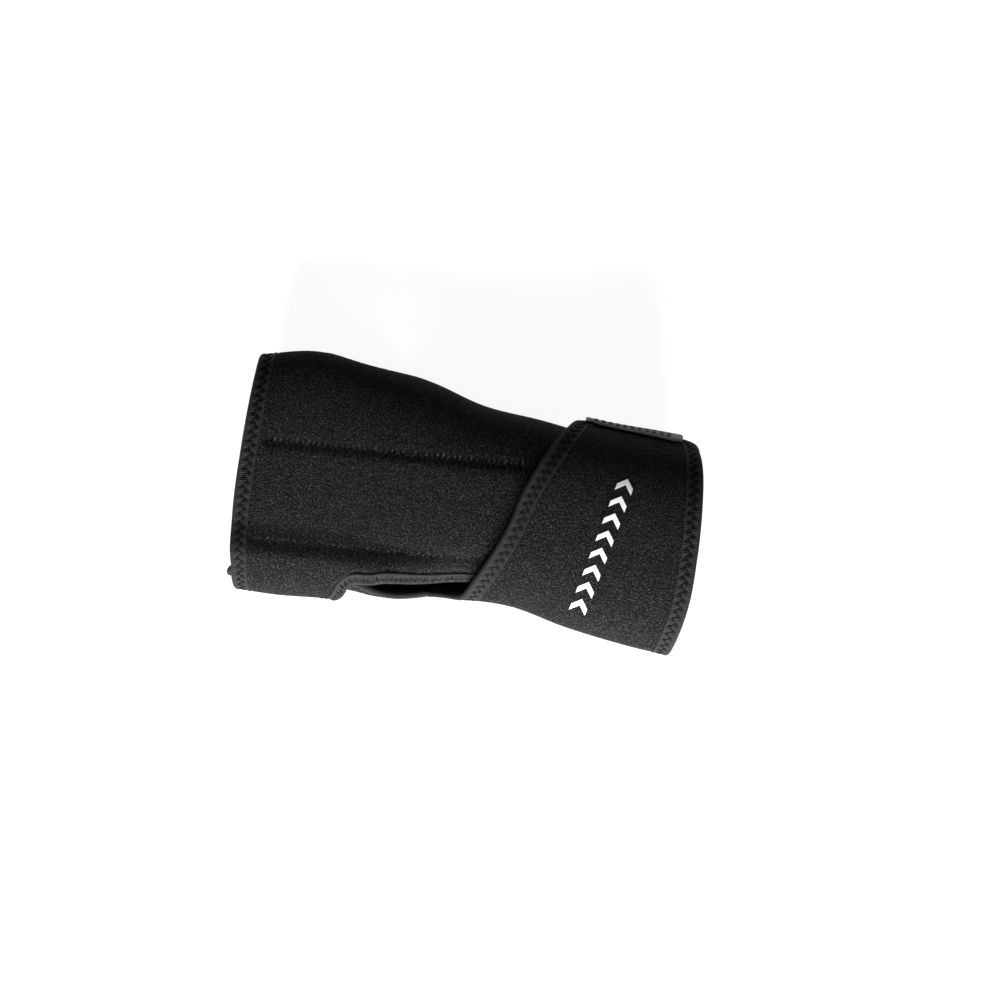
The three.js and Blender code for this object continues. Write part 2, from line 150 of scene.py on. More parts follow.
# angle, x of each edge that goes round the limb
HAND_EDGE = [
    (-222, -92), (-164, -91.5), (-90, -87), (-45, -91), (-10, -93.6),
    (30, -94.1), (90, -94.1), (120, -92.5), (142, -90),
]
ELBOW_EDGE = [(-164, 88), (-110, 85), (-60, 82), (142, 82)]
FLAP_DISTAL_EDGE = [(142, -90), (180, -87.6), (230, -85), (285, -83)]
FLAP_PROXIMAL_EDGE = [(142, -42), (165, -44.5), (185, -48), (285, -51)]
STRAP_DISTAL_EDGE = [
    (6, 40), (45, 32.5), (90, 20.5), (135, 8.5), (150, 5.6), (158, 3.8), (165, 1.6), (172, -2.8),
    (177, -6.6), (182, -9.75), (190, -9.25), (196, -8.7),
]
STRAP_PROXIMAL_EDGE = [
    (6, 80), (14, 86), (30, 89), (70, 92.8), (105, 94.4), (150, 91), (196, 88),
]
# x, angle of the sleeve's palmar edge
PALM_EDGE = [
    (-94, -208), (-50, -208), (-40, -203), (-34, -197), (-30, -192), (-25, -187), (-18, -183),
    (-12, -180), (-10, -178),
]
# x, angle of the sleeve's dorsal edge past the blind end of the slot
SLOT_EDGE = [
    (-37, 142), (-33, 140.6), (-28, 138), (-22, 138.2), (-15, 140.8), (-8, 143.4), (-2, 144.2),
    (6, 143.6), (18, 142),
]
# At the strap's root the palmar edge turns down beside the strap's own edge, over these x. The strap's
# tape starts at the angle ROOT_SLIT_TOP.
ROOT_SLIT = (-10.2, -9)
ROOT_SLIT_TOP = 182.3
THUMB_HOLE = {"x": -46, "angle": -25, "half_length": 22, "half_angle": 21}


def smoothstep(x, low, high):
    t = np.clip((x - low) / (high - low), 0, 1)
    return t * t * (3 - 2 * t)


def lerp(a, b, t):
    return a + (b - a) * t


def through(rows):
    """The smooth curve through rows of (position, value, ...), held level past its ends."""
    t = np.array([row[0] for row in rows], float)
    values = np.array([row[1:] for row in rows], float)
    last = len(t) - 1

    def at(where):
        where = np.clip(where, t[0], t[-1])
        k = np.clip(np.searchsorted(t, where, side="right") - 1, 0, last - 1)
        before = np.where(k > 0, k - 1, k + 1)
        after = np.where(k + 2 <= last, k + 2, k)
        t0, t1 = t[k], t[k + 1]
        weight_before = 0.5 * (t1 - t0) / (t0 - t[before])
        weight_after = 0.5 * (t1 - t0) / (t[after] - t1)
        p = (where - t0) / (t1 - t0)
        shares = (
            weight_before * (-p**3 + 2 * p**2 - p),
            (1 + weight_before) * p**3 - (1.5 + 2 * weight_before) * p**2
            + (weight_before - 0.5) * p + 1,
            -(1 + weight_after) * p**3 + (1.5 + weight_after) * p**2 + 0.5 * p,
            weight_after * (p**3 - p**2),
        )
        rows_at = (before, k, k + 1, after)
        total = sum(share[..., None] * values[row] for share, row in zip(shares, rows_at))
        return [total[..., i] for i in range(values.shape[1])]

    return at


def edge_curve(rows):
    curve = through(rows)
    return lambda where: curve(np.asarray(where, float))[0]


limb_reach = through(LIMB)
hand_edge = edge_curve(HAND_EDGE)
elbow_edge = edge_curve(ELBOW_EDGE)
flap_distal = edge_curve(FLAP_DISTAL_EDGE)
flap_proximal = edge_curve(FLAP_PROXIMAL_EDGE)
strap_distal = edge_curve(STRAP_DISTAL_EDGE)
strap_proximal = edge_curve(STRAP_PROXIMAL_EDGE)
palm_curve = edge_curve(PALM_EDGE)
dorsal_edge = edge_curve(SLOT_EDGE)


def palm_height(x):
    """Height of the palmar outer face above the table: the hand part stands on the flap."""
    over_flap = 1 - smoothstep(x, *FLAP_STEP_X)
    return (LAYER_RISE + EDGE_LIFT) * over_flap + EDGE_LIFT * smoothstep(x, *ELBOW_LIFT_X)


def dorsal_inside(x):
    return DORSAL_HEIGHT + DORSAL_SLOPE * x - SHEET


def section(x):
    radial, ulnar = limb_reach(x)
    bottom = palm_height(x) + SHEET - PALM_FLATTENING
    top = dorsal_inside(x)
    return (radial + ulnar) / 2, (top + bottom) / 2, (radial - ulnar) / 2, (top - bottom) / 2


def on_limb(x, angle, offset):
    """The points at (x, angle, offset), in millimetres."""
    x, angle, offset = np.broadcast_arrays(*(np.asarray(a, float) for a in (x, angle, offset)))
    mid_y, mid_z, half_y, half_z = section(x)
    cos, sin = np.cos(np.radians(angle)), np.sin(np.radians(angle))
    y = mid_y + (half_y + offset) * np.sign(cos) * np.abs(cos) ** FULLNESS
    z = mid_z + (half_z + offset) * np.sign(sin) * np.abs(sin) ** FULLNESS
    floor = palm_height(x) + SHEET - offset
    z = (z + floor + np.sqrt((z - floor) ** 2 + PALM_SOFTNESS**2)) / 2
    return np.stack([x, y, z], axis=-1)


def mm_per_degree(x, angle):
    step = on_limb(x, angle + 1, SHEET) - on_limb(x, angle - 1, SHEET)
    return np.linalg.norm(step, axis=-1) / 2


def sleeve_offset(x, angle):
    """Near its dorsal edge the hand part rises to make room for the palmar part under it."""
    return (
        LAYER_RISE * smoothstep(angle, *DORSAL_RISE_ANGLE) * (1 - smoothstep(x, *DORSAL_FALL_X))
    )


def palm_edge(x):
    """Angle of the sleeve's palmar edge: high under the flap, then down beside the strap's root."""
    return lerp(palm_curve(x), SLEEVE_START, smoothstep(x, *ROOT_SLIT))


def flap_offset(x, angle):
    return LAYER_RISE + 0 * (x + angle)


def strap_offset(x, angle):
    return LAYER_RISE * (1 - smoothstep(angle, *STRAP_FALL_ANGLE)) + 0 * x


def angle_at(x, y, offset, above):
    """The angle at which the face that far above a sheet's inner one has the given y."""
    mid_y, _, half_y, _ = section(x)
    angle = np.full_like(x, 90.0)
    for _ in range(4):
        share = np.clip((y - mid_y) / (half_y + offset(x, angle) + above), -1, 1)
        angle = np.degrees(np.arccos(np.sign(share) * np.abs(share) ** (1 / FULLNESS)))
    return angle


def drawn_in(distance, radius):
    """How far the side of a rounded corner lies inside the square one, that far from its end."""
    left = radius - np.clip(distance, 0, radius)
    return radius - np.sqrt(radius**2 - left**2)


# ------ mesh builders


SHARP_ANGLE = 50


def unit_grid(rows, columns):
    return np.meshgrid(np.linspace(0, 1, rows), np.linspace(0, 1, columns), indexing="ij")


def make_mesh(name, points, faces, materials, **attributes):
    """A smooth-shaded object from points in millimetres. faces is (faces, material index) pairs."""
    mesh = bpy.data.meshes.new(name)
    everything = [face for group, _ in faces for face in group]
    mesh.from_pydata((points * MM).tolist(), [], everything)
    index = np.concatenate([np.full(len(group), slot) for group, slot in faces])
    mesh.polygons.foreach_set("material_index", index.astype(np.int32))
    attributes["rest"] = points
    for key, values in attributes.items():
        layer = mesh.attributes.new(key, "FLOAT_VECTOR", "POINT")
        layer.data.foreach_set("vector", np.asarray(values, np.float32).ravel())
    for material in materials:
        mesh.materials.append(material)
    mesh.shade_smooth()
    mesh.set_sharp_from_angle(angle=float(np.radians(SHARP_ANGLE)))
    mesh.update()
    piece = bpy.data.objects.new(name, mesh)
    bpy.context.collection.objects.link(piece)
    return piece


def signed_volume(points, faces):
    """Above zero where the faces of a closed shape point outwards."""
    centred = points - points.mean(axis=0)
    corners = [centred[[face[i] for face in faces]] for i in range(3)]
    return np.sum(corners[0] * np.cross(corners[1], corners[2]))


def merged(shapes):
    """Points and faces of several closed shapes as one."""
    points, faces, first = [], [], 0
    for shape, polygons in shapes:
        points.append(shape)
        faces += [[i + first for i in polygon] for polygon in polygons]
        first += len(shape)
    return np.concatenate(points), faces


def joined(name, shapes, material):
    points, faces = merged(shapes)
    return make_mesh(name, points, [(faces, 0)], [material])


def sheet_faces(outer, inner, keep=None):
    """Points of a closed sheet between two grids, and its outer, inner and cut-edge faces.

    keep says which grid cells stay."""
    rows, columns = outer.shape[:2]
    number = np.arange(rows * columns).reshape(rows, columns)
    cells = np.stack(
        [number[:-1, :-1], number[1:, :-1], number[1:, 1:], number[:-1, 1:]], axis=-1
    )
    cells = cells[keep] if keep is not None else cells.reshape(-1, 4)
    edges = np.concatenate([cells[:, [i, (i + 1) % 4]] for i in range(4)])
    count = rows * columns
    codes = edges[:, 0] * count + edges[:, 1]
    rim = edges[~np.isin(codes, edges[:, 1] * count + edges[:, 0])]
    wall = np.stack([rim[:, 1], rim[:, 0], rim[:, 0] + count, rim[:, 1] + count], axis=-1)
    points = np.concatenate([outer.reshape(-1, 3), inner.reshape(-1, 3)])
    back = cells[:, ::-1] + count
    used = np.unique(np.concatenate([cells.ravel(), back.ravel()]))
    renumber = np.zeros(len(points), int)
    renumber[used] = np.arange(len(used))
    points = points[used]
    groups = [renumber[group] for group in (cells, back, wall)]
    if signed_volume(points, np.concatenate(groups[:2])) < 0:
        groups = [group[:, ::-1] for group in groups]
    return points, [group.tolist() for group in groups]


def closed_sheet(name, outer, inner, materials, keep=None):
    """A closed sheet. Materials are the outer face's, the inner face's and the cut edge's."""
    points, groups = sheet_faces(outer, inner, keep)
    return make_mesh(name, points, [(group, slot) for slot, group in enumerate(groups)], materials)


def ring_quads(rings, size, closed=False):
    """Faces between neighbouring rings of points."""
    start = (np.arange(rings if closed else rings - 1) * size)[:, None]
    beyond = (start + size) % (rings * size)
    k, after = np.arange(size), (np.arange(size) + 1) % size
    quads = np.stack([start + k, start + after, beyond + after, beyond + k], axis=-1)
    return quads.reshape(-1, 4).tolist()


def tube(centres, ups, radius, sides=6):
    """Points and faces of a closed tube along centres, with ups roughly across it."""
    along = np.gradient(centres, axis=0)
    along /= np.linalg.norm(along, axis=1, keepdims=True)
    across = np.cross(along, ups)
    across /= np.linalg.norm(across, axis=1, keepdims=True)
    up = np.cross(across, along)
    turn = np.linspace(0, 2 * np.pi, sides, endpoint=False)
    ring = np.cos(turn)[None, :, None] * across[:, None] + np.sin(turn)[None, :, None] * up[:, None]
    points = (centres[:, None] + radius * ring).reshape(-1, 3)
    first = [list(range(sides))[::-1]]
    last = [[len(points) - sides + i for i in range(sides)]]
    return points, ring_quads(len(centres), sides) + first + last


def thread_on_limb(x, angle, top, radius):
    centres = on_limb(x, angle, top)
    return tube(centres, on_limb(x, angle, top + 1) - centres, radius)


class Edge:
    """A sheet's edge: a path of (x, angle) with the sheet on one side of it (1 left, -1 right)."""

    STATION = 0.5

    def __init__(self, path, side, offset, closed=False):
        x, angle = (np.array(values, float) for values in zip(*path))
        middle = on_limb(x, angle, offset(x, angle) + SHEET / 2)
        length = np.concatenate([[0], np.cumsum(np.linalg.norm(np.diff(middle, axis=0), axis=1))])
        self.offset, self.closed, self.length = offset, closed, length[-1]
        self.s = np.linspace(0, length[-1], round(length[-1] / self.STATION) + 1)
        self.x = np.interp(self.s, length, x)
        self.angle = np.interp(self.s, length, angle)
        scale = mm_per_degree(self.x, self.angle)
        run_x, run_round = self.slope(self.x), self.slope(self.angle) * scale
        run = np.hypot(run_x, run_round)
        self.into_x = -side * run_round / run
        self.into_angle = side * run_x / run / scale

    def slope(self, values):
        if not self.closed:
            return np.gradient(values)
        around = np.concatenate([values[-3:-1], values, values[1:3]])
        return np.gradient(around)[2:-2]

    def at(self, s, into, across):
        """The point that far along the edge, into the sheet, and across its thickness."""
        x = np.interp(s, self.s, self.x) + into * np.interp(s, self.s, self.into_x)
        angle = np.interp(s, self.s, self.angle) + into * np.interp(s, self.s, self.into_angle)
        return on_limb(x, angle, self.offset(x, angle) + SHEET / 2 + across)


# Folded tape, stitched down between its woven edge and its fold with a zigzag or an overlock.
TAPE_THICKNESS = 0.4
TAPE_WIDTH = 6.0
SLOT_TAPE_WIDTH = 4.2
PIT_DEPTH = 0.7
PIT_RADIUS = 0.78
ZIGZAG_PITCH = 3.7
THREAD_RADIUS = 0.17
OVERLOCK_PITCH = 1.9
OVERLOCK_RADIUS = 0.33


def tape_outline(width):
    """Half of the fold's outline: (into, height) from the tape's woven edge to the nose."""
    share = width / TAPE_WIDTH
    return np.array([
        (6.0 * share, 0.95), (5.95 * share, 1.4), (5.7 * share, 1.58), (5.1 * share, 1.56),
        (4.5 * share, 1.4), (3.9 * share, 1.3), (3.3 * share, 1.27), (2.7 * share, 1.28),
        (2.1 * share, 1.33), (1.5, 1.48), (0.9, 1.62), (0.35, 1.62), (-0.15, 1.45),
        (-0.55, 1.1), (-0.8, 0.6), (-0.88, 0.0),
    ])


def tape_section(width):
    """Closed section of the folded tape as (into, across), outer line first."""
    half = tape_outline(width)
    outer = np.concatenate([half, (half * (1, -1))[-2::-1]])
    along = np.gradient(outer, axis=0)
    along /= np.linalg.norm(along, axis=1, keepdims=True)
    inwards = np.stack([-along[:, 1], along[:, 0]], axis=-1)
    if inwards[len(half) - 1, 0] < 0:
        inwards = -inwards
    inner = outer + inwards * TAPE_THICKNESS
    return outer, inner[::-1]


def stitch_rows(width):
    """How far into the sheet the needle goes through, on the zigzag's two sides."""
    share = width / TAPE_WIDTH
    return 1.9 * share, 4.3 * share


def tape(name, edge, width=TAPE_WIDTH, stitch="zigzag"):
    """Folded binding tape along an edge, with its needle pits and thread."""
    outer, inner = tape_section(width)
    ring = np.concatenate([outer, inner])
    s = edge.s[:-1] if edge.closed else edge.s
    into, across = ring[None, :, 0] + 0 * s[:, None], ring[None, :, 1] + 0 * s[:, None]
    near, far = stitch_rows(width)
    pitch = edge.length / round(edge.length / ZIGZAG_PITCH)
    beat = s[:, None] / pitch
    depth = np.zeros_like(into)
    for row, shift in ((near, 0), (far, 0.5)):
        away = (0.5 - np.abs((beat + shift) % 1 - 0.5)) * pitch
        depth = np.maximum(depth, np.exp(-(away**2 + (into - row) ** 2) / PIT_RADIUS**2))
    depth[:, len(outer):] *= 0.5
    if stitch != "zigzag":
        depth *= 0
    across = across - np.sign(across) * depth * PIT_DEPTH
    points = edge.at(s[:, None] + 0 * into, into, across).reshape(-1, 3)
    size = len(ring)
    body = ring_quads(len(s), size, edge.closed)
    if not edge.closed:
        for base, turned in ((0, False), ((len(s) - 1) * size, True)):
            for i in range(len(outer) - 1):
                cap = [base + i, base + i + 1, base + size - 2 - i, base + size - 1 - i]
                body.append(cap[::-1] if turned else cap)
    # The third value, the pits' depth, also paints shade into the needle pits in the binding's colour.
    weave = np.stack([s[:, None] + 0 * into, into, depth], axis=-1).reshape(-1, 3)
    if signed_volume(points, body) < 0:
        body = [face[::-1] for face in body]
    points, faces = merged([(points, body), stitching(edge, width, stitch, pitch)])
    weave = np.concatenate([weave, np.zeros((len(points) - len(weave), 3))])
    groups = [(faces[:len(body)], 0), (faces[len(body):], 1)]
    threads = THREAD if stitch == "overlock" else TAPE_THREAD
    return make_mesh(name, points, groups, [BINDING, threads], weave=weave)


def tape_height(into, width):
    half = tape_outline(width)[::-1]
    return np.interp(into, half[:, 0], half[:, 1])


def stitching(edge, width, stitch, pitch):
    """Zigzag or overlock thread over both faces of a tape."""
    near, far = stitch_rows(width)
    strands = []
    if stitch == "overlock":
        starts = np.arange(1.0, edge.length - 1.0, OVERLOCK_PITCH)
        paths = [(at, at + 0.5, -0.4, far + 0.5) for at in starts]
    else:
        count = round(2 * edge.length / pitch)
        at = pitch / 2 * np.arange(count + 1)
        rows = np.where(np.arange(count + 1) % 2 == 0, near, far)
        paths = [(at[i], at[i + 1], rows[i], rows[i + 1]) for i in range(count)]
    along = np.linspace(0, 1, 6)
    radius = OVERLOCK_RADIUS if stitch == "overlock" else THREAD_RADIUS
    arch = radius * (1.9 * np.sin(np.pi * along) - 1.4)
    for s0, s1, into0, into1 in paths:
        s, into = lerp(s0, s1, along), lerp(into0, into1, along)
        for face in (1, -1):
            height = tape_height(into, width) + arch
            centres = edge.at(s, into, face * height)
            ups = edge.at(s, into, face * (height + 1)) - centres
            strands.append(tube(centres, ups, radius, 5))
    return merged(strands)


# ------ materials


class Nodes:
    """A material's node tree, with short calls for the nodes that the looks use."""

    def __init__(self, name):
        self.material = bpy.data.materials.new(name)
        self.material.use_nodes = True
        self.tree = self.material.node_tree
        self.shader = self.tree.nodes["Principled BSDF"]

    def put(self, socket, value):
        if isinstance(value, bpy.types.NodeSocket):
            self.tree.links.new(value, socket)
        else:
            socket.default_value = value

    def attribute(self, name):
        node = self.tree.nodes.new("ShaderNodeAttribute")
        node.attribute_name = name
        return node.outputs["Vector"]

    def separate(self, vector):
        node = self.tree.nodes.new("ShaderNodeSeparateXYZ")
        self.put(node.inputs[0], vector)
        return node.outputs

    def math(self, operation, a, b=0.0):
        node = self.tree.nodes.new("ShaderNodeMath")
        node.operation = operation
        for socket, value in zip(node.inputs, (a, b)):
            self.put(socket, value)
        return node.outputs[0]

    def noise(self, vector, scale, detail=2.0, roughness=0.5):
        node = self.tree.nodes.new("ShaderNodeTexNoise")
        self.put(node.inputs["Vector"], vector)
        node.inputs["Scale"].default_value = scale
        node.inputs["Detail"].default_value = detail
        node.inputs["Roughness"].default_value = roughness
        return node.outputs["Fac"]

    def loops(self, vector, scale):
        node = self.tree.nodes.new("ShaderNodeTexVoronoi")
        self.put(node.inputs["Vector"], vector)
        node.inputs["Scale"].default_value = scale
        return node.outputs["Distance"]

    def span(self, value, low, high, to_low=0.0, to_high=1.0):
        node = self.tree.nodes.new("ShaderNodeMapRange")
        for socket, given in zip(node.inputs, (value, low, high, to_low, to_high)):
            self.put(socket, given)
        return node.outputs[0]

    def mix(self, share, a, b):
        node = self.tree.nodes.new("ShaderNodeMix")
        node.data_type = "RGBA"
        self.put(node.inputs["Factor"], share)
        for socket, value in (("A", a), ("B", b)):
            self.put(next(i for i in node.inputs if i.name == socket and i.type == "RGBA"), value)
        return next(o for o in node.outputs if o.type == "RGBA")

    def bump(self, height, distance):
        node = self.tree.nodes.new("ShaderNodeBump")
        node.inputs["Distance"].default_value = distance * MM
        self.put(node.inputs["Height"], height)
        self.put(self.shader.inputs["Normal"], node.outputs[0])

    def colour(self, value):
        self.put(self.shader.inputs["Base Color"], value)

    def set(self, **values):
        for key, value in values.items():
            self.put(self.shader.inputs[key.replace("_", " ").capitalize()], value)


def grey(level, tint=(1.0, 1.0, 1.0)):
    return (level * tint[0], level * tint[1], level * tint[2], 1)


def neoprene_material(name, dark, light, fleck, loop_scale):
    """Pile of tiny loops: dark, with lighter fibre ends catching the light."""
    n = Nodes(name)
    rest = n.attribute("rest")
    loops = n.loops(rest, loop_scale)
    fibres = n.noise(rest, 1.7, 3, 0.65)
    clumps = n.noise(rest, 0.22, 3, 0.6)
    ends = n.span(n.noise(rest, 1.7, 3, 0.7), 0.5, 0.7)
    nap = n.math("MULTIPLY", n.span(fibres, 0.38, 0.68), n.span(clumps, 0.3, 0.7, 0.55, 1.0))
    base = n.mix(nap, grey(dark), grey(light, (1, 1, 1.02)))
    n.colour(n.mix(ends, base, grey(fleck)))
    n.set(roughness=0.92)
    n.shader.inputs["Specular IOR Level"].default_value = 0.1
    n.shader.inputs["Sheen Weight"].default_value = 0.015
    n.shader.inputs["Sheen Roughness"].default_value = 0.5
    height = n.math("ADD", n.math("MULTIPLY", loops, -0.8), n.math("MULTIPLY", fibres, 1.2))
    n.bump(height, 0.6)
    return n.material


def binding_material():
    """Woven tape: fine ribs square to the edge, with painted shade darkening the needle pits."""
    n = Nodes("binding")
    along, into, pit_shade = n.separate(n.attribute("weave"))
    rest = n.attribute("rest")
    wobble = n.math("MULTIPLY", n.noise(rest, 0.8, 2), 0.5)
    ribs = n.math("SINE", n.math("MULTIPLY", n.math("ADD", along, wobble), 2 * np.pi / 0.78))
    weft = n.math("SINE", n.math("MULTIPLY", into, 2 * np.pi / 0.5))
    cloth = n.math("ADD", n.math("MULTIPLY", ribs, 0.7), n.math("MULTIPLY", weft, 0.25))
    lit = n.math("MULTIPLY", n.span(cloth, -1, 1), n.span(n.noise(rest, 1.4, 3), 0.3, 0.7, 0.6, 1))
    base = n.mix(lit, grey(0.003), grey(0.024, (0.95, 1.0, 1.04)))
    # Painted shade: the colour goes to near black in the needle pits, by the pits' depth.
    n.colour(n.mix(pit_shade, base, grey(0.001)))
    n.set(roughness=0.72)
    n.shader.inputs["Specular IOR Level"].default_value = 0.16
    n.shader.inputs["Sheen Weight"].default_value = 0.015
    n.bump(n.math("ADD", cloth, n.math("MULTIPLY", n.noise(rest, 5, 2), 0.8)), 0.11)
    return n.material


def thread_material(name, dark, light):
    """Polyester thread: dark, with painted glints, painted highlights in patches of noise that stand in
    for strands lying proud.
    """
    n = Nodes(name)
    rest = n.attribute("rest")
    strands = n.noise(rest, 6, 2)
    # Painted highlight: a lighter colour in sparse noise patches.
    painted_glints = n.math("MULTIPLY", strands, n.span(n.noise(rest, 0.9, 1), 0.46, 0.64))
    n.colour(n.mix(painted_glints, grey(dark), grey(light)))
    n.set(roughness=0.8)
    n.shader.inputs["Specular IOR Level"].default_value = 0.15
    n.bump(strands, 0.08)
    return n.material


def hook_material():
    """Woven nylon backing of the hook tape."""
    n = Nodes("hook_tape")
    rest = n.attribute("rest")
    across = n.separate(rest)[0]
    weave = n.math("SINE", n.math("MULTIPLY", across, 2 * np.pi / 0.7))
    grain = n.noise(rest, 2.4, 3)
    lit = n.math("MULTIPLY", n.span(weave, -1, 1, 0.5, 1), n.span(grain, 0.3, 0.7))
    n.colour(n.mix(lit, grey(0.003), grey(0.011)))
    n.set(roughness=0.6)
    n.bump(n.math("ADD", weave, grain), 0.08)
    return n.material


def cut_edge_highlight_material():
    """Heat-cut nylon: a slightly glossy bead, painted light grey as a painted highlight along the edge.
    """
    n = Nodes("cut_edge_highlight")
    grain = n.noise(n.attribute("rest"), 1.6, 3)
    # Painted highlight: the rim's light grey stands in for light caught on the bead.
    n.colour(n.mix(grain, grey(0.16), grey(0.6)))
    n.set(roughness=0.42)
    n.bump(grain, 0.15)
    return n.material


def ink_material():
    """Screen print, worn where the fibres stand up."""
    n = Nodes("print")
    rest = n.attribute("rest")
    worn = n.span(n.noise(rest, 1.7, 3, 0.6), 0.62, 0.75)
    n.colour(n.mix(worn, grey(0.84), grey(0.4)))
    n.set(roughness=0.6)
    n.bump(n.noise(rest, 2.2, 3), 0.12)
    return n.material


def metal_material():
    """Brushed aluminium, brushed along the stay."""
    n = Nodes("metal")
    place = n.tree.nodes.new("ShaderNodeTexCoord").outputs["Object"]
    stretch = n.tree.nodes.new("ShaderNodeMapping")
    stretch.inputs["Scale"].default_value = (20, 1800, 1800)
    n.put(stretch.inputs["Vector"], place)
    brushed = n.noise(stretch.outputs[0], 1.0, 4)
    n.colour(n.mix(brushed, grey(0.5), grey(0.66)))
    n.set(metallic=1.0, roughness=n.span(brushed, 0, 1, 0.26, 0.46))
    n.bump(brushed, 0.02)
    return n.material


def floor_material():
    """White paper that glows a little, so that shadows on it stay faint."""
    n = Nodes("floor")
    n.set(roughness=0.9)
    n.colour(grey(0.2))
    n.shader.inputs["Emission Color"].default_value = (1, 1, 1, 1)
    n.shader.inputs["Emission Strength"].default_value = 0.93
    return n.material


NEOPRENE = neoprene_material("neoprene", 0.0005, 0.005, 0.047, 1.2)
LINING = neoprene_material("lining", 0.003, 0.008, 0.012, 2.6)
BINDING = binding_material()
THREAD = thread_material("thread", 0.002, 0.08)
TAPE_THREAD = thread_material("tape_thread", 0.0008, 0.003)
HOOK = hook_material()
CUT_EDGE_HIGHLIGHT = cut_edge_highlight_material()
INK = ink_material()
SHEET_LOOKS = [NEOPRENE, LINING, LINING]

# ------ joints and the zones of the cloth's bends over them; the zones are listed, and bend() only bakes a piece's transform

JOINTS = {joint["name"]: joint for joint in frame["joints"]}


def bend_zone(joint, towards, before, after):
    """Start and end of a bend over a joint: towards is roughly the way along the cloth, in (y, z)."""
    axis = np.array(JOINTS[joint]["axis"], float)
    way = np.array([0.0, *towards])
    way -= axis * (way @ axis)
    way /= np.linalg.norm(way)
    hinge = np.array(JOINTS[joint]["pos_m"], float)
    return tuple(hinge - way * before * MM), tuple(hinge + way * after * MM)


BENDS = {
    "flap_root": ("root", "hand_flap_side", bend_zone("hand_flap_open", (-0.6, -0.8), -0.5, 12)),
    "flap_corner": (
        "hand_flap_side", "hand_flap_palm", bend_zone("hand_flap_palm_open", (0.7, -0.7), 6, 6),
    ),
    "strap_root": ("root", "strap_ulnar", bend_zone("strap_open", (-0.3, 1.0), -5.5, 19)),
    "strap_ulnar_corner": (
        "strap_ulnar", "strap_dorsal", bend_zone("strap_dorsal_open", (0.75, 0.65), 9, 9),
    ),
    "strap_radial_corner": (
        "strap_dorsal", "strap_radial", bend_zone("strap_radial_open", (0.65, -0.75), 9, 9),
    ),
    "tab": ("strap_radial", "strap_tab", bend_zone("tab_peel", (0.1, -1.0), 2.5, 2.5)),
}


def bend(piece):
    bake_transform(piece)


# ------ neoprene sheets

TAPED_DIP = 0.5
CORNER = 8.0
BLIND_END = 5.0


def under_tape(distance):
    """How far each face of the sheet is pressed in under the tape and just beside it."""
    return TAPED_DIP * (1 - smoothstep(distance, TAPE_WIDTH - 0.8, TAPE_WIDTH + 1.2))


def flap_sides(angle):
    """x of the flap's two edges, with the blind end's fillet and the rounded end."""
    from_root = (angle - DORSAL_EDGE) * mm_per_degree(SLOT_END, DORSAL_EDGE + 3)
    from_end = (FLAP_END - angle) * mm_per_degree(-68, FLAP_END - 3)
    cut = drawn_in(from_end, CORNER)
    return flap_distal(angle) + cut, flap_proximal(angle) - cut + drawn_in(from_root, BLIND_END)


def strap_sides(angle):
    """x of the strap's two edges: at its root the distal one runs beside the palmar edge's end."""
    from_end = (angle - STRAP_END) * mm_per_degree(60, STRAP_END + 3)
    return strap_distal(angle) + drawn_in(from_end, CORNER), strap_proximal(angle)


def wrap_sheet(name, start, end, sides, offset, steps, end_edge=None, bare_from=None):
    """A sheet from one angle to another; end_edge is the angle of its taped end.

    The distal edge has no tape past the angle bare_from."""
    u, v = unit_grid(*(count + 1 for count in steps))
    angle = lerp(start, end, u)
    distal, proximal = sides(angle)
    x = lerp(distal, proximal, v)
    distance = np.minimum(x - distal, proximal - x)
    if bare_from is not None:
        clear = 1.5 * TAPE_WIDTH * smoothstep(angle, bare_from - 1, bare_from + 2)
        distance = np.minimum(x - distal + clear, proximal - x)
    if end_edge is not None:
        distance = np.minimum(distance, np.abs(angle - end_edge) * mm_per_degree(x, angle))
    dip = under_tape(distance)
    level = offset(x, angle)
    outer = on_limb(x, angle, level + SHEET - dip)
    inner = on_limb(x, angle, level + dip)
    return closed_sheet(name, outer, inner, SHEET_LOOKS)


# Pocket stitching on the back of the sleeve.
POCKET_Y = -2.5
POCKET_TURN = 0.0725
POCKET_HALF_WIDTH = 20
POCKET_X = (-85, 75)
SEAM_PITCH = 2.3
SEAM_WIDTH = 2.9
SEAM_THREAD = 0.24
SEAM_UNEVENNESS = 0.3
SEAM_ARCH = 0.42
SEAM_SUNK = 0.3
GROOVE_DEPTH = 0.75
GROOVE_WIDTH = 1.8
PUCKER = 0.7
POCKET_RISE = 0.45
# The pocket's relief fades in and out between these angles, and at its ends over these x.
BACK_START = (15, 25)
BACK_END = (155, 165)
POCKET_FADE = ((POCKET_X[0] - 3, POCKET_X[0] + 1), (POCKET_X[1] - 2, POCKET_X[1] + 3))
PUCKER_ASIDE = 2.0
PUCKER_WIDTH = 1.1


def pocket_y(x):
    return POCKET_Y + POCKET_TURN * x


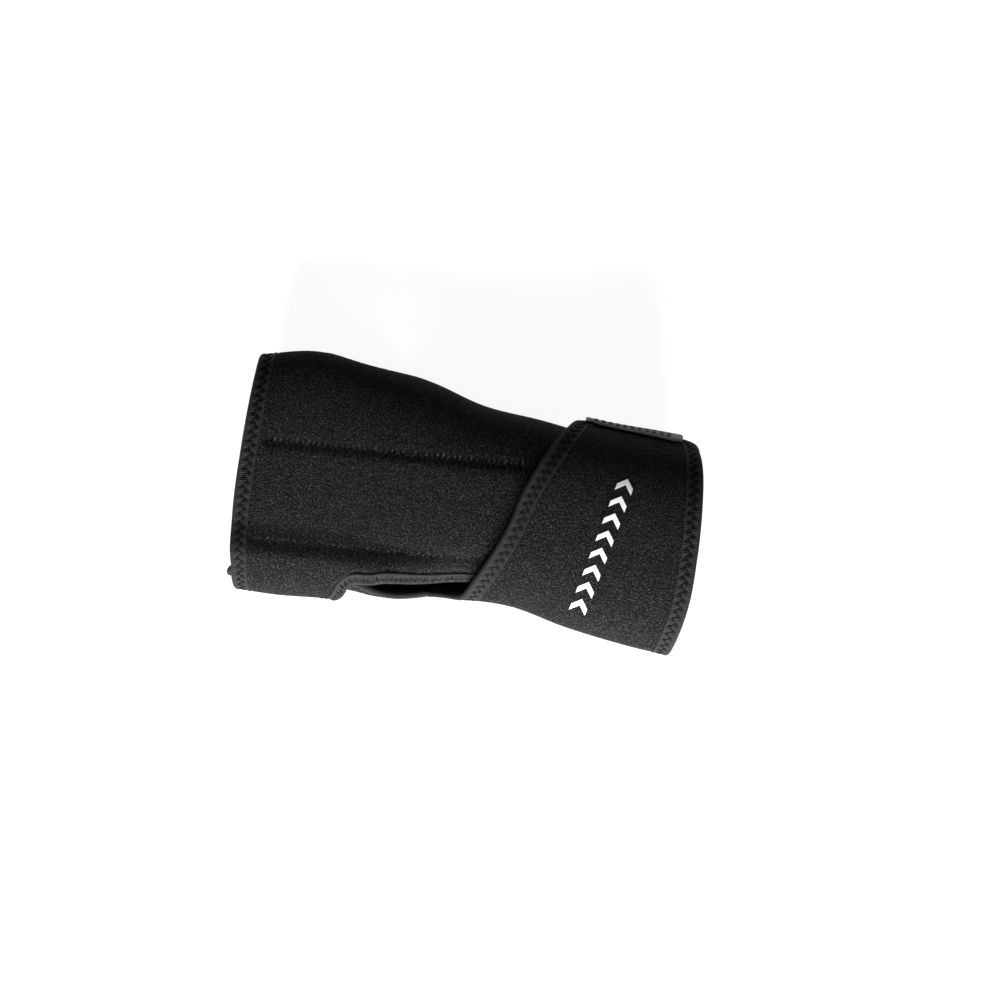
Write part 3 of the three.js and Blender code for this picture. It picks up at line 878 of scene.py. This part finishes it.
def pocket_relief(x, angle):
    """Height of the sleeve's outer face over its plain level, round the pocket's stitching."""
    y = on_limb(x, angle, SHEET)[..., 1]
    aside = np.abs(y - pocket_y(x))
    on_back = smoothstep(angle, *BACK_START) * (1 - smoothstep(angle, *BACK_END))
    along = smoothstep(x, *POCKET_FADE[0]) * (1 - smoothstep(x, *POCKET_FADE[1]))
    from_seam = aside - POCKET_HALF_WIDTH
    groove = np.exp(-((from_seam / GROOVE_WIDTH) ** 2))
    beat = np.cos(2 * np.pi * x / SEAM_PITCH) * np.sign(from_seam)
    pucker = beat * np.exp(-(((np.abs(from_seam) - PUCKER_ASIDE) / PUCKER_WIDTH) ** 2))
    rise = POCKET_RISE * smoothstep(-from_seam, 0.5, 6)
    return on_back * along * (rise - GROOVE_DEPTH * groove - PUCKER * pucker)


def sleeve_x_range(angle):
    """x of the sleeve's two round edges at an angle, rounded at its two free corners."""
    scale = mm_per_degree(-80, PALM_EDGE_HAND + 3)
    hand = hand_edge(angle) + drawn_in((angle - PALM_EDGE_HAND) * scale, CORNER)
    elbow_scale = mm_per_degree(78, DORSAL_EDGE - 3)
    return hand, elbow_edge(angle) - drawn_in((DORSAL_EDGE - angle) * elbow_scale, CORNER)


def thumb_radius(x, angle):
    """1 on the rim of the thumb hole, less inside it."""
    hole = THUMB_HOLE
    return np.hypot(
        (x - hole["x"]) / hole["half_length"], (angle - hole["angle"]) / hole["half_angle"]
    )


SLEEVE_GRID = (331, 251)
FAR = 100
THUMB_RIM_REACH = 18
THUMB_PULL = 0.5


def sleeve_edge_distance(x, angle):
    """Millimetres from the nearest taped edge of the sleeve."""
    hand, elbow = sleeve_x_range(angle)
    scale = mm_per_degree(x, angle)
    from_dorsal = (dorsal_edge(x) - angle) * scale
    before_slot = np.maximum(SLOT_END + BLIND_END - x, 0)
    from_palmar = (angle - palm_curve(x)) * scale + FAR * (x > ROOT_SLIT[0])
    from_thumb = (thumb_radius(x, angle) - 1) * THUMB_RIM_REACH
    return np.minimum.reduce([
        x - hand, elbow - x, np.hypot(from_dorsal, before_slot), from_palmar, from_thumb,
    ])


def sleeve_top(x, angle):
    """Offset of the sleeve's outer face."""
    dip = under_tape(sleeve_edge_distance(x, angle))
    return sleeve_offset(x, angle) + SHEET - dip + pocket_relief(x, angle)


def build_sleeve():
    """The sleeve. Grid cells inside the thumb hole go, and points just inside it move to its rim."""
    u, v = unit_grid(*SLEEVE_GRID)
    angle = lerp(SLEEVE_START, DORSAL_EDGE, u)
    for _ in range(3):
        hand, elbow = sleeve_x_range(angle)
        x = lerp(hand, elbow, v)
        angle = lerp(palm_edge(x), dorsal_edge(x), u)
    radius = thumb_radius(x, angle)
    inside = radius < 1
    cell_inside = inside[:-1, :-1] & inside[1:, :-1] & inside[1:, 1:] & inside[:-1, 1:]
    near = inside & (radius > THUMB_PULL)
    stretch = np.maximum(radius, THUMB_PULL)
    x = np.where(near, THUMB_HOLE["x"] + (x - THUMB_HOLE["x"]) / stretch, x)
    angle = np.where(near, THUMB_HOLE["angle"] + (angle - THUMB_HOLE["angle"]) / stretch, angle)
    dip = under_tape(sleeve_edge_distance(x, angle))
    outer = on_limb(x, angle, sleeve_top(x, angle))
    inner = on_limb(x, angle, sleeve_offset(x, angle) + dip)
    return closed_sheet("sleeve", outer, inner, SHEET_LOOKS, keep=~cell_inside)


sleeve = build_sleeve()
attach(sleeve, "root")
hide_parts("neoprene_sleeve")

FLAP_SPLIT = 178
STRAP_SPLITS = (160, 90)
flap_side = wrap_sheet("flap_side", DORSAL_EDGE, FLAP_SPLIT, flap_sides, flap_offset, (44, 56))
bend(flap_side)
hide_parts("hand_flap_side")
flap_palm = wrap_sheet(
    "flap_palm", FLAP_SPLIT, FLAP_END, flap_sides, flap_offset, (110, 48), end_edge=FLAP_END
)
bend(flap_palm)
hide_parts("hand_flap_palm")

strap_side = wrap_sheet(
    "strap_side", STRAP_ROOT, STRAP_SPLITS[0], strap_sides, strap_offset, (66, 110),
    bare_from=ROOT_SLIT_TOP,
)
bend(strap_side)
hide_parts("strap_ulnar")
strap_back = wrap_sheet("strap_back", *STRAP_SPLITS, strap_sides, strap_offset, (90, 90))
bend(strap_back)
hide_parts("strap_dorsal")
strap_end = wrap_sheet(
    "strap_end", STRAP_SPLITS[1], STRAP_END, strap_sides, strap_offset, (110, 80), STRAP_END
)
bend(strap_end)
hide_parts("strap_radial")

# ------ folded tape on every cut edge


# Degrees that a rounded corner takes up, and how far from the end the even steps begin.
CORNER_TURN = 14
PAST_CORNER = 14.5


def side_path(sides, which, start, end, step=0.25):
    """(x, angle) along the distal (0) or proximal (1) edge of a wrap."""
    count = max(2, int(abs(end - start) / step))
    angles = np.linspace(start, end, count + 1)
    return list(zip(sides(angles)[which], angles))


def rounded_end(sides, end, inwards, count=40):
    """Path along the end of a wrap, from its distal corner to its proximal one."""
    distal, proximal = sides(np.array(end + inwards * 0.01))
    return list(zip(np.linspace(distal, proximal, count), np.full(count, float(end))))


def corner_angles(end, inwards, degrees=CORNER_TURN, count=40):
    """Angles that close up towards a rounded end."""
    return end + inwards * degrees * (1 - np.sin(np.linspace(0, np.pi / 2, count)))


def palmar_path():
    """From the strap's root along the palmar edge, then along the hand edge to the flap's root."""
    x = np.linspace(ROOT_SLIT[0], hand_edge(PALM_EDGE_HAND) + CORNER, 300)
    palm = list(zip(x, palm_edge(x)))
    angles = np.concatenate([
        corner_angles(PALM_EDGE_HAND, 1)[::-1],
        np.linspace(PALM_EDGE_HAND + PAST_CORNER, DORSAL_EDGE + 0.2, 1000),
    ])
    return palm + list(zip(sleeve_x_range(angles)[0], angles))


def blind_end_path():
    """From the flap along its proximal edge and round the blind end."""
    angles = np.concatenate([
        np.linspace(FLAP_SPLIT, DORSAL_EDGE + 10, 60), corner_angles(DORSAL_EDGE, 1, 10, 30)[1:],
    ])
    return list(zip(flap_sides(angles)[1], angles))


def slot_path():
    """From the blind end along the dorsal edge."""
    x = np.linspace(SLOT_END + BLIND_END, ELBOW_EDGE[-1][1] - CORNER, 300)
    return list(zip(x, dorsal_edge(x)))


def elbow_path():
    angles = np.concatenate([
        corner_angles(DORSAL_EDGE, -1)[::-1], np.linspace(DORSAL_EDGE - PAST_CORNER, SLEEVE_START, 900)
    ])
    return list(zip(sleeve_x_range(angles)[1], angles))


def strap_end_path():
    split = STRAP_SPLITS[1]
    straight = np.linspace(split, STRAP_END + PAST_CORNER, 200)
    angles = np.concatenate([straight, corner_angles(STRAP_END, 1)])
    distal = list(zip(strap_sides(angles)[0], angles))
    return distal + rounded_end(strap_sides, STRAP_END, 1)[1:] + side_path(
        strap_sides, 1, STRAP_END, split
    )[1:]


def flap_end_path():
    inward = corner_angles(FLAP_END, -1)
    angles = np.concatenate([np.linspace(FLAP_SPLIT, FLAP_END - PAST_CORNER, 200), inward])
    distal = list(zip(flap_sides(angles)[0], angles))
    back = list(zip(flap_sides(angles)[1], angles))[::-1]
    return distal + rounded_end(flap_sides, FLAP_END, -1)[1:-1] + back


def thumb_path():
    turn = np.linspace(0, 2 * np.pi, 200)
    x = THUMB_HOLE["x"] + THUMB_HOLE["half_length"] * np.cos(turn)
    return list(zip(x, THUMB_HOLE["angle"] + THUMB_HOLE["half_angle"] * np.sin(turn)))


palmar_tape = tape("palmar_and_hand_edge_tape", Edge(palmar_path(), -1, sleeve_offset))
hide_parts("hand_edge_binding", "palm_edge_binding")
elbow_tape = tape("elbow_edge_tape", Edge(elbow_path(), -1, sleeve_offset))
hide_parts("elbow_edge_binding")
thumb_tape = tape("thumb_hole_tape", Edge(thumb_path(), -1, sleeve_offset, closed=True))
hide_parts("thumb_hole_binding")
slot_tape = tape(
    "slot_tape", Edge(slot_path(), -1, sleeve_offset), width=SLOT_TAPE_WIDTH, stitch="overlock"
)
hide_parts("dorsal_edge_binding")
for piece in (palmar_tape, elbow_tape, thumb_tape, slot_tape):
    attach(piece, "root")

blind_end_tape = tape(
    "blind_end_tape", Edge(blind_end_path(), -1, sleeve_offset), width=SLOT_TAPE_WIDTH,
    stitch="overlock",
)
bend(blind_end_tape)
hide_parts("hand_flap_side_proximal_binding")

flap_root_tape = tape(
    "flap_root_tape",
    Edge(side_path(flap_sides, 0, DORSAL_EDGE - 0.4, FLAP_SPLIT), -1, flap_offset),
)
bend(flap_root_tape)
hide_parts("hand_flap_side_distal_binding")

flap_tape = tape("flap_end_tape", Edge(flap_end_path(), -1, flap_offset))
bend(flap_tape)
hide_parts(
    "hand_flap_palm_distal_binding", "hand_flap_palm_proximal_binding", "hand_flap_end_binding",
)

for which, edge_name, side, root in (
    (0, "distal", 1, ROOT_SLIT_TOP), (1, "proximal", -1, STRAP_ROOT),
):
    rows = (
        ("strap_side", root, STRAP_SPLITS[0], "strap_root", "strap_ulnar"),
        ("strap_back", *STRAP_SPLITS, "strap_ulnar_corner", "strap_dorsal"),
    )
    for part, start, end, zone, body in rows:
        path = side_path(strap_sides, which, start, end, 0.1)
        piece = tape(f"{part}_{edge_name}_tape", Edge(path, side, strap_offset))
        bend(piece)
        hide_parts(f"{body}_{edge_name}_binding")

strap_end_tape = tape("strap_end_tape", Edge(strap_end_path(), 1, strap_offset))
bend(strap_end_tape)
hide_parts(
    "strap_radial_distal_binding", "strap_radial_proximal_binding", "strap_end_binding",
)

# ------ pocket: lining, stay and stitching

LINING_THICKNESS = 0.8
STAY_X = (-79, 71)
STAY_HALF_WIDTH = 11.5
STAY_THICKNESS = 1.6
STAY_DEPTH = 3.8
STAY_CLEARANCE = 0.4


def build_lining():
    u, v = unit_grid(61, 121)
    x = lerp(*POCKET_X, v)
    half = POCKET_HALF_WIDTH - 1
    aside = lerp(-half, half, u)
    y = pocket_y(x) + aside
    angle = angle_at(x, y, sleeve_offset, 0)
    sleeve_inside = on_limb(x, angle, sleeve_offset(x, angle))[..., 2] - 0.1
    hanging = dorsal_inside(x) - STAY_DEPTH - STAY_THICKNESS - STAY_CLEARANCE
    at_seam = smoothstep(np.abs(aside), STAY_HALF_WIDTH + 1.5, half)
    at_blind_end = 1 - smoothstep(x, POCKET_X[0], STAY_X[0] - 3)
    top = lerp(hanging, sleeve_inside, np.maximum(at_seam, at_blind_end))
    upper = np.stack([x, y, top], axis=-1)
    return closed_sheet(
        "pocket_lining", upper - (0, 0, LINING_THICKNESS), upper, [LINING, LINING, BINDING]
    )


lining = build_lining()
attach(lining, "root")
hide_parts("splint_pocket_lining")


def pocket_seam(name, side):
    """Zigzag thread on the back of the sleeve, sunk in its groove and pulled in at every stitch."""
    count = int((POCKET_X[1] - POCKET_X[0] - 3) / (SEAM_PITCH / 2))
    along = np.linspace(0, 1, 7)
    strands = []
    for i in range(count):
        x = POCKET_X[0] + 1 + (i + along) * SEAM_PITCH / 2
        width = SEAM_WIDTH * (1 + SEAM_UNEVENNESS * np.sin(1.7 * i) * np.sin(0.37 * i))
        across = width * (along - 0.5) * (1 if i % 2 else -1)
        y = pocket_y(x) + side * POCKET_HALF_WIDTH + across
        angle = angle_at(x, y, sleeve_offset, SHEET)
        top = sleeve_top(x, angle) + SEAM_ARCH * np.sin(np.pi * along) - SEAM_SUNK
        strands.append(thread_on_limb(x, angle, top, SEAM_THREAD))
    return joined(name, strands, THREAD)


for side, where in ((1, "radial"), (-1, "ulnar")):
    seam = pocket_seam(f"{where}_pocket_stitching", side)
    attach(seam, "root")
    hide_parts(f"pocket_seam_{where}")

for material_slot in frame["nodes"]["metal_stay"].material_slots:
    material_slot.material = metal_material()

# ------ hook tab and hook pads

TAB_TOP = 22
TAB_FOLD = 3
TAB_TIP = -34
TAB_X = (42, 82)
TAB_THICKNESS = 1
TAB_CORNER = 7
TAB_TOP_CORNER = 3
TAB_SLANT = 7
TAB_OVER_STRAP = LAYER_RISE + SHEET + 0.6
TAB_ON_SLEEVE = SHEET + 1.8
TAB_BEVEL = 0.22
TAB_BEVEL_WIDTH = 0.9
TAB_SPAN = (45, 38.5)
TAB_STITCH_ROWS = (3.5, 9)
TAB_STITCH_SPACING = 3.0
TAB_STITCH = 2.2
TAB_THREAD = 0.18
HOOK_SPACING = 1.3
HOOK_HEIGHT = 0.75


def tab_level(angle):
    return lerp(TAB_ON_SLEEVE, TAB_OVER_STRAP, smoothstep(angle, -16, TAB_FOLD - 1))


def build_tab():
    u, v = unit_grid(71, 61)
    top = TAB_TOP - TAB_SLANT * (1 - v)
    angle = lerp(TAB_TIP, top, u)
    scale = mm_per_degree(TAB_X[0], TAB_TIP)
    cut = np.maximum(
        drawn_in((angle - TAB_TIP) * scale, TAB_CORNER),
        drawn_in((top - angle) * scale, TAB_TOP_CORNER),
    )
    x = lerp(TAB_X[0] + cut, TAB_X[1] - cut, v)
    from_ends, from_sides = np.minimum(u, 1 - u), np.minimum(v, 1 - v)
    rim = np.minimum(from_ends * TAB_SPAN[0], from_sides * TAB_SPAN[1])
    bevel = TAB_BEVEL * (1 - smoothstep(rim, 0, TAB_BEVEL_WIDTH))
    level = tab_level(angle)
    outer = on_limb(x, angle, level + TAB_THICKNESS - bevel)
    inner = on_limb(x, angle, level + bevel)
    return closed_sheet("hook_tab_strip", outer, inner, [HOOK, HOOK, CUT_EDGE_HIGHLIGHT])


tab = build_tab()
bend(tab)
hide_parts("hook_tab", "hook_tab_root")


def tab_stitching():
    """Two rows of stitches that hold the tab on the strap's end."""
    strands = []
    along = np.linspace(0, 1, 6)
    for below in TAB_STITCH_ROWS:
        for start in np.arange(TAB_X[0] + 3, TAB_X[1] - 5, TAB_STITCH_SPACING):
            x = start + TAB_STITCH * along
            share = (x - TAB_X[0]) / (TAB_X[1] - TAB_X[0])
            angle = TAB_TOP - TAB_SLANT * (1 - share) - below
            top = TAB_OVER_STRAP + TAB_THICKNESS + 0.3 * np.sin(np.pi * along) - 0.1
            strands.append(thread_on_limb(x, angle, top, TAB_THREAD))
    return joined("tab_stitching", strands, THREAD)


tab_rows = tab_stitching()
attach(tab_rows, "strap_radial")


def hook_pad(name, angles, x_range, level):
    """A field of hook tape whose hooks point at the limb; level is the offset of its backing."""
    u, v = unit_grid(13, 13)
    angle, x = lerp(*angles, u), lerp(*x_range, v)
    base = [on_limb(x, angle, level), on_limb(x, angle, level - 0.4)]
    backing = closed_sheet(name, base[0], base[1], [HOOK, HOOK, CUT_EDGE_HIGHLIGHT])
    step = HOOK_SPACING / float(mm_per_degree(np.array(x_range[0]), np.array(angles[0])))
    bendy = np.array([0, 0.35, 0.7, 0.95, 1.0])
    lean = np.array([0, 0.02, 0.12, 0.4, 0.75])
    strands = []
    for row, a in enumerate(np.arange(min(angles) + step / 2, max(angles) - step / 3, step)):
        for at in np.arange(x_range[0] + 0.7, x_range[1] - 0.6, HOOK_SPACING):
            shift = lean * (1 if row % 2 else -1) * 0.55
            centres = on_limb(at + shift, a, level - 0.35 - HOOK_HEIGHT * bendy)
            strands.append(tube(centres, np.tile((0.0, 1.0, 0.1), (5, 1)), 0.11, 4))
    return backing, joined(f"{name}_hooks", strands, HOOK)


tab_pad, tab_hooks = hook_pad("tab_pad", (-28, -17), (47, 73.5), TAB_ON_SLEEVE)
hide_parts("hook_tab_pad")
flap_pad, flap_hooks = hook_pad("flap_pad", (262, 277), (-76, -58), LAYER_RISE)
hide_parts("hand_flap_hook_pad")
for piece in (tab_pad, tab_hooks):
    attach(piece, "strap_tab")
for piece in (flap_pad, flap_hooks):
    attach(piece, "hand_flap_palm")

# ------ plain chevrons printed on the strap

PRINT_START = (51.3, -36.5)
PRINT_END = (62.3, 21.5)
CHEVRONS = 8
CHEVRON_DEPTH = 3.2
CHEVRON_HALF_WIDTH = 3.4
CHEVRON_STROKE = 1.9
CHEVRON_MITRE = 1.35
INK_LIFT = 0.05
INK_THICKNESS = 0.12


def chevron(centre, along, across):
    """One chevron pointing along the row, as a thin closed sheet on the strap."""
    u, v = np.meshgrid(np.linspace(-1, 1, 25), np.linspace(0, 1, 7), indexing="ij")
    forward = CHEVRON_DEPTH * (0.5 - np.abs(u)) + CHEVRON_STROKE * (v - 0.5) * CHEVRON_MITRE
    aside = CHEVRON_HALF_WIDTH * u
    x = centre[0] + forward * along[0] + aside * across[0]
    y = centre[1] + forward * along[1] + aside * across[1]
    angle = angle_at(x, y, strap_offset, SHEET)
    top = strap_offset(x, angle) + SHEET + INK_LIFT
    return on_limb(x, angle, top + INK_THICKNESS), on_limb(x, angle, top - INK_THICKNESS), angle


def build_print():
    """The row of chevrons, in one piece for each piece of the strap that it lies on."""
    start, end = np.array(PRINT_START), np.array(PRINT_END)
    along = (end - start) / np.linalg.norm(end - start)
    across = np.array([along[1], -along[0]])
    groups = {"back": [], "end": []}
    for i in range(CHEVRONS):
        upper, lower, angle = chevron(lerp(start, end, (i + 0.5) / CHEVRONS), along, across)
        mark, faces = sheet_faces(upper, lower)
        part = "back" if angle.mean() > STRAP_SPLITS[1] else "end"
        groups[part].append((mark, sum(faces, [])))
    return {part: joined(f"print_{part}", marks, INK) for part, marks in groups.items()}


prints = build_print()
bend(prints["back"])
bend(prints["end"])

# ------ floor


def add_floor():
    half = 3.0
    mesh = bpy.data.meshes.new("floor")
    corners = [(-half, -half, 0), (half, -half, 0), (half, half, 0), (-half, half, 0)]
    mesh.from_pydata(corners, [], [(0, 1, 2, 3)])
    mesh.materials.append(floor_material())
    floor = bpy.data.objects.new("floor", mesh)
    floor.location.z = -0.0002
    bpy.context.collection.objects.link(floor)


add_floor()
